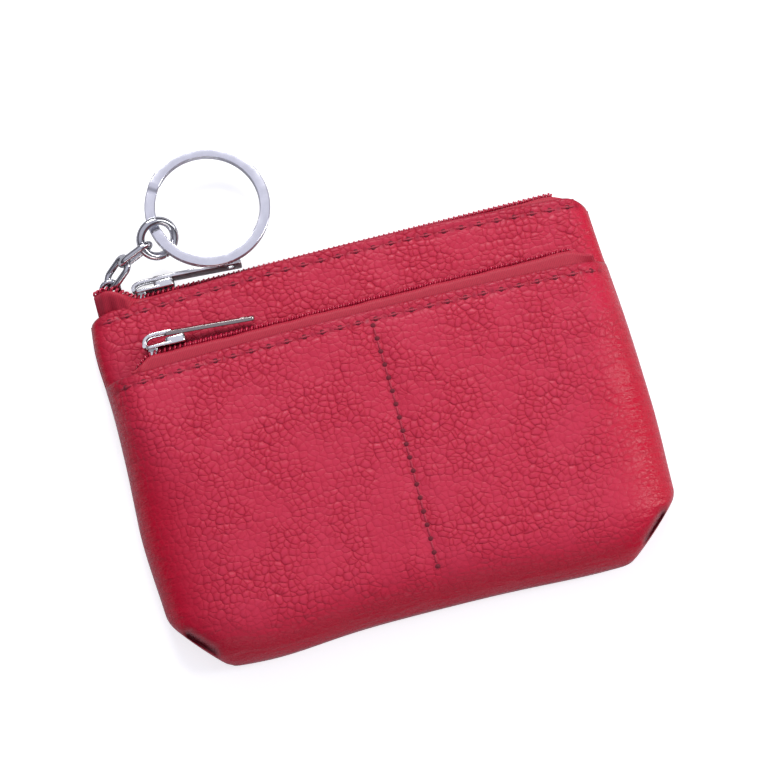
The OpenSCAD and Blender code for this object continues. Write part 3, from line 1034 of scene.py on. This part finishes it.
def stitchPiece(length):
    n = stitch["steps"]
    t = np.linspace(-1, 1, n)
    path = np.stack([t * length / 2, 0 * t, -stitch["sag"] * np.abs(t) ** 3], -1)
    verts, faces = sweep(path, roundSection(stitch["width"], stitch["height"], 0.17, 3), (0, 0, 1))
    ring = verts.reshape(n, -1, 3)
    size = np.sqrt(np.clip(1 - np.abs(t) ** 5, 0.04, 1))[:, None, None]
    ring = path[:, None] + (ring - path[:, None]) * size
    return addMesh("stitch", ring.reshape(-1, 3), faces, [threadMat])


def heightOf(surface, x, y):
    # the outer face's height at a place, found by walking its own grid
    u = 0.0
    for _ in range(5):
        low, high = 0.0, 1.0
        for _ in range(22):
            mid = (low + high) / 2
            if surface(np.array(u), np.array(mid), 0.0)[1] < y:
                low = mid
            else:
                high = mid
        wide = float(surface(np.array(1.0), np.array(low), 0.0)[0])
        u = math.asin(max(-1, min(1, x / wide))) * 2 / math.pi
    return float(surface(np.array(u), np.array(low), 0.0)[2])


def stitchRow(name, xs, ys, surface, down, seed):
    zs = np.array([heightOf(surface, x, y) for x, y in zip(xs, ys)])
    places = np.stack([*settle(xs, ys), zs + (0.06 if down else 0.08)], -1)
    tilt = np.array([math.atan2(heightOf(surface, x, y + 0.9) - heightOf(surface, x, y - 0.9), 1.8)
                     for x, y in zip(xs, ys)])
    lean = np.array([math.atan2(heightOf(surface, x - 0.9, y) - heightOf(surface, x + 0.9, y), 1.8)
                     for x, y in zip(xs, ys)])
    if down:
        turns = np.stack([0 * tilt, -tilt, 0 * tilt + math.pi / 2], -1)
    else:
        turns = np.stack([tilt, lean, np.arctan(np.gradient(ys, xs))], -1)
    one = stitchPiece((rows["centrePitch"] if down else rows["pitch"]) - 0.9)
    row = repeatPiece(name, places, turns, one, threadMat, seed, 0.04)
    bpy.data.objects.remove(one)
    return row


def holeRow(name, xs, ys, surface, seed):
    # the needle holes between the threads, each a small disc painted dark for the shade inside the hole
    t = np.linspace(0, 2 * math.pi, 15)[:-1]
    rim = np.stack([0.62 * np.cos(t), 0.55 * np.sin(t), 0 * t - 0.08], -1)
    inner = np.stack([0.46 * np.cos(t), 0.40 * np.sin(t), 0 * t + 0.10], -1)
    n = len(t)
    faces = [[k, (k + 1) % n, n + (k + 1) % n, n + k] for k in range(n)] + [list(range(n, 2 * n))]
    one = addMesh("hole", np.concatenate([rim, inner]), faces, [holeShadeMat])
    zs = np.array([heightOf(surface, x, y) for x, y in zip(xs, ys)])
    row = repeatPiece(name, np.stack([*settle(xs, ys), zs + (0.13 if name != "needleHolesCentre" else 0.04)], -1), np.zeros((len(xs), 3)), one,
                      holeShadeMat, seed, 0.05)
    bpy.data.objects.remove(one)
    return row


holeFaces = 15
betweenX = np.arange(-56, 56.1, rows["pitch"])[1:-1]
betweenY = rows["centreTop"] - rows["centrePitch"] * np.arange(rows["centreCount"] + 1)
holes = parted(holeRow("needleHolesEdge", betweenX, rowY("edge", betweenX), frontSurface, 21), *mainParts,
               group=holeFaces)
openWithMouth(holes, "stitch_front_edge")
holes = parted(holeRow("needleHolesLip", betweenX, rowY("lip", betweenX), pocketSurface, 22), *pocketParts,
               group=holeFaces)
openWithPocket(holes, "stitch_pocket_lip")
soloPiece(holeRow("needleHolesCentre", rows["centreX"] + 0 * betweenY, betweenY, pocketSurface, 23),
          "pocket", "stitch_pocket_centre")
acrossX = np.arange(-52, 52.1, rows["pitch"])
edgeRow = stitchRow("stitchFrontEdge", acrossX, rowY("edge", acrossX), frontSurface, False, 11)
openWithMouth(parted(edgeRow, *mainParts, group=stitchFaces), "stitch_front_edge")
lipRow = stitchRow("stitchPocketLip", acrossX, rowY("lip", acrossX), pocketSurface, False, 12)
openWithPocket(parted(lipRow, *pocketParts, group=stitchFaces), "stitch_pocket_lip")
downY = rows["centreTop"] - rows["centrePitch"] * (np.arange(rows["centreCount"]) + 0.5)
centreRow = stitchRow("stitchPocketCentre", rows["centreX"] + 0 * downY, downY, pocketSurface, True, 13)
soloPiece(centreRow, "pocket", "stitch_pocket_centre")
print("stitches made")

# sliders and pulls
slider = dict(length=7.6, wide=4.4, narrow=3.4, plate=0.7, edge=0.2, outer=1.75, inner=-1.05)
crownBlock = dict(x=(0.7, 5.2), y=(1.3, 3.2), half=1.9, edge=0.42)
eyeLoop = dict(rise=2.0, left=-3.9, right=1.7, wide=3.0, thick=0.8)


def standUp(verts, x, y):
    # drawn flat, then stood up: its thickness runs along Y
    return np.stack([x + verts[:, 0], y + verts[:, 2], -verts[:, 1]], -1)


def sliderOutline(wide, narrow, length, inset):
    a, b, h = wide / 2 - inset, narrow / 2 - inset, length / 2 - inset
    return smoothOutline([(-h, -a), (-h * 0.1, -a), (h, -b), (h, b), (-h * 0.1, a), (-h, a)], 0.9)


def sliderPiece(name, place):
    s, c = slider, crownBlock
    parts = []
    for y, share in ((s["outer"], 1), (s["inner"], 0.86)):
        outline = sliderOutline(s["wide"] * share, s["narrow"] * share, s["length"], s["edge"])
        verts, faces = platePoints([outline], s["plate"], s["edge"])
        parts.append((standUp(verts, 0, y), faces))
    post = smoothOutline([(-3.4, -0.55), (-1.0, 0), (-3.4, 0.55)], 0.25)
    verts, faces = platePoints([post], s["outer"] - s["inner"], 0.08)
    parts.append((standUp(verts, 0, (s["outer"] + s["inner"]) / 2), faces))
    e = c["edge"]
    block = smoothOutline([(c["x"][0] + e, -c["half"] + e), (c["x"][1] - e, -c["half"] + e),
                           (c["x"][1] - e, c["half"] - e), (c["x"][0] + e, c["half"] - e)], 0.5)
    verts, faces = platePoints([block], c["y"][1] - c["y"][0], e)
    parts.append((standUp(verts, 0, sum(c["y"]) / 2), faces))
    verts, faces = joinParts(parts)
    obj = addMesh(name, verts + np.array([zipper["sliderX"], place["y"], place["z"]]), faces, [nickelMat])
    hardEdges(obj)
    return obj


pull = dict(start=1.0, end=20.8, head=3.0, tail=3.7, thick=0.95, edge=0.2)
# how high each pull rides on its slider, how deep its eye dips and how far it leans, in degrees
pullSet = dict(main=dict(lift=3.7, dip=1.3, lean=-3.0, roll=-9.0, barMat=nickelMat),
               pocket=dict(lift=4.45, dip=2.1, lean=-4.2, roll=16.0, barMat=shadedNickelMat))


def pullPiece(name, place, lift, dip, lean, roll, barMat):
    p, e = pull, pull["edge"]
    bar = smoothOutline([(p["start"], -p["head"] / 2 + e), (p["end"] - e, -p["tail"] / 2 + e),
                         (p["end"] - e, p["tail"] / 2 - e), (p["start"], p["head"] / 2 - e)], 0.5)
    slit = smoothOutline([(p["end"] - 3.4, -0.9), (p["end"] - 1.6, -0.9), (p["end"] - 1.6, 0.9),
                          (p["end"] - 3.4, 0.9)], 0.7)
    verts, faces = platePoints([bar, slit[::-1]], p["thick"], e)
    t = math.radians(lean)
    turn = np.array([[math.cos(t), -math.sin(t), 0], [math.sin(t), math.cos(t), 0], [0, 0, 1]])
    r = math.radians(roll)
    tip = np.array([[1, 0, 0], [0, math.cos(r), -math.sin(r)], [0, math.sin(r), math.cos(r)]])
    parts = [(standUp(verts, 0, 0) @ tip.T @ turn.T + np.array([0, lift, 0]), faces)]
    # the eye: a flat strap that bends down round the slider's bridge
    g = eyeLoop
    bend = [(p["start"] + 1.4, lift - 0.1, 0), (p["start"] - 1.5, lift + 0.02, 0),
            (g["left"] + 1.6, lift - 0.02, 0), (g["left"] + 0.5, lift - 0.25 * dip, 0),
            (g["left"], lift - 0.62 * dip, 0), (g["left"] - 0.1, lift - dip, 0)]
    path = smoothPath(np.array(bend), 40)
    for across in (-1, 1):
        strap = path + np.array([0, 0, across * (g["wide"] / 2 - 0.45)])
        parts.append(sweep(strap, roundSection(0.9, g["thick"], 0.25), (0, 1, 0.001)))
    foot = np.array([[g["left"] - 0.1, lift - dip, side * g["wide"] / 2] for side in (-1, 1)])
    parts.append(sweep(np.linspace(foot[0], foot[1], 9), roundSection(0.8, 0.8, 0.3), (0, 1, 0)))
    barFaces = len(parts[0][1])
    verts, faces = joinParts(parts)
    obj = addMesh(name, verts + np.array([zipper["sliderX"], place["y"], place["z"]]), faces, [nickelMat, barMat])
    for k, face in enumerate(obj.data.polygons):
        face.material_index = 1 if k < barFaces else 0
    hardEdges(obj)
    return obj


for word, place in (("main", mainZip), ("pocket", pocketZip)):
    soloPiece(sliderPiece(word + "Slider", place), word + "_slider", word + "_slider")
    soloPiece(pullPiece(word + "Pull", place, **pullSet[word]), word + "_pull", word + "_pull")
print("sliders made")

# key ring chain
chain = dict(endLoop=((1.95, 1.95, 1.1), (39.2, 2.2, 7.7), (-51.93, 44.62, 4.97)),
             chainLink1=((3.8, 2.05, 1.45), (-34.9, -28.3, 35.1), (-49.31, 47.55, 6.77)),
             chainLink2=((3.8, 2.05, 1.45), (90.5, -11.2, 21.0), (-44.41, 49.88, 9.43)),
             jumpRing=((4.0, 4.0, 1.85), (28.5, 22.1, 0.6), (-38.84, 52.26, 9.22)))
chainNodes = dict(endLoop="end_loop", chainLink1="chain_link_1", chainLink2="chain_link_2", jumpRing="jump_ring")
jointGap = dict(endLoop=(200, 2), chainLink1=(120, 1.4), chainLink2=(300, 1.4), jumpRing=(20, 1.6))
for name, ((a, b, wire), angles, place) in chain.items():
    start, gap = jointGap[name]
    path = ovalPath(a, b, 97, start + gap, 359.9 - 2 * gap)
    verts, faces = sweep(path, roundSection(wire, wire, wire / 2 - 0.01, 5), (0, 0, 1))
    obj = addMesh(name, turned(verts, angles, place), faces, [chainMat])
    hardEdges(obj, 50)
    soloPiece(obj, chainNodes[name], chainNodes[name])

splitRing = dict(mean=12.8, wide=2.35, thick=0.9, apart=0.48, stepStart=144.0, stepEnd=152.0,
                 upperStart=-165.0, lowerEnd=502.0, place=(-26.5, 57.0, 7.4), angles=(-4.8, 6.4, 0.0))
ringAngles = np.arange(splitRing["upperStart"], splitRing["lowerEnd"] + 0.1, 1.0)
drop = np.clip((ringAngles - splitRing["stepStart"]) / (splitRing["stepEnd"] - splitRing["stepStart"]), 0, 1)
level = splitRing["apart"] * (1 - 2 * (3 * drop ** 2 - 2 * drop ** 3))
spin = np.radians(ringAngles)
ringPath = np.stack([splitRing["mean"] * np.cos(spin), splitRing["mean"] * np.sin(spin), level], -1)
verts, faces = sweep(ringPath, roundSection(splitRing["wide"], splitRing["thick"], 0.22), (0, 0, 1))
obj = addMesh("splitRing", turned(verts, splitRing["angles"], splitRing["place"]), faces, [chromeMat])
hardEdges(obj, 50)
soloPiece(obj, "split_ring", "split_ring")

# leather tab folded round the end loop
tab = dict(x=-52.2, y=43.0, z=3.7, wide=1.5, thick=0.7, radius=1.5)
tabPath = [(0, -5.0, 1.0), (0, -3.4, 1.25)]
tabPath += [(0, tab["radius"] * math.cos(t), tab["radius"] * math.sin(t))
            for t in np.linspace(math.radians(125), math.radians(-125), 25)]
tabPath += [(0, -3.4, -0.2), (0, -5.0, 0.15)]
verts, faces = sweep(tabPath, roundSection(tab["wide"], tab["thick"], 0.22), (1, 0, 0))
verts = verts + np.array([tab["x"], tab["y"], tab["z"]])
obj = addMesh("ringTab", verts, faces, [tapeMat])
soloPiece(obj, "back", "ring_tab")
print("key ring made")

# floor, light and camera
floorMat, tree, shader = newMaterial("paleFloor")
shader.inputs["Base Color"].default_value = (0.62, 0.62, 0.64, 1)
shader.inputs["Roughness"].default_value = 0.8
shader.inputs["Emission Color"].default_value = (1, 1, 1, 1)
seen = tree.nodes.new("ShaderNodeLightPath")
link(tree, mathNode(tree, "MULTIPLY", seen.outputs["Is Camera Ray"], 0.62), shader.inputs["Emission Strength"])
floor = addMesh("floor", [(-900, -900, -0.05), (900, -900, -0.05), (900, 900, -0.05), (-900, 900, -0.05)],
                [[0, 1, 2, 3]], [floorMat])
world = bpy.data.worlds.new("studio")
bpy.context.scene.world = world
world.use_nodes = True
tree = world.node_tree
direction = tree.nodes.new("ShaderNodeTexCoord")
parts = tree.nodes.new("ShaderNodeSeparateXYZ")
link(tree, direction.outputs["Generated"], parts.inputs[0])
# bright overhead and dim at the horizon, which gives metal edges their dark lines
height = rampNode(tree, parts.outputs["Z"], ((0.35, 0.0), (0.96, 1.0)))
link(tree, mixColour(tree, height, (0.10, 0.10, 0.12), (0.80, 0.80, 0.93)), tree.nodes["Background"].inputs["Color"])
tree.nodes["Background"].inputs["Strength"].default_value = 0.9
bpy.context.scene.view_settings.view_transform = "Standard"


def areaLight(name, place, aim, size, power, tint=(1, 1, 1)):
    data = bpy.data.lights.new(name, "AREA")
    data.shape = "RECTANGLE"
    data.size, data.size_y = size
    data.energy = power
    data.color = tint
    light = bpy.data.objects.new(name, data)
    bpy.context.scene.collection.objects.link(light)
    light.location = place
    light.rotation_euler = (Vector(aim) - Vector(place)).to_track_quat("-Z", "Y").to_euler()


areaLight("key", (0.12, 0.60, 0.55), (0, 0, 0), (0.45, 0.22), 5.2)
areaLight("side", (0.55, -0.05, 0.30), (0, 0, 0), (0.12, 0.5), 1.6)
areaLight("low", (-0.05, -0.50, 0.18), (0, 0, 0), (0.5, 0.08), 0.35)
placeCamera()
print("stage set")
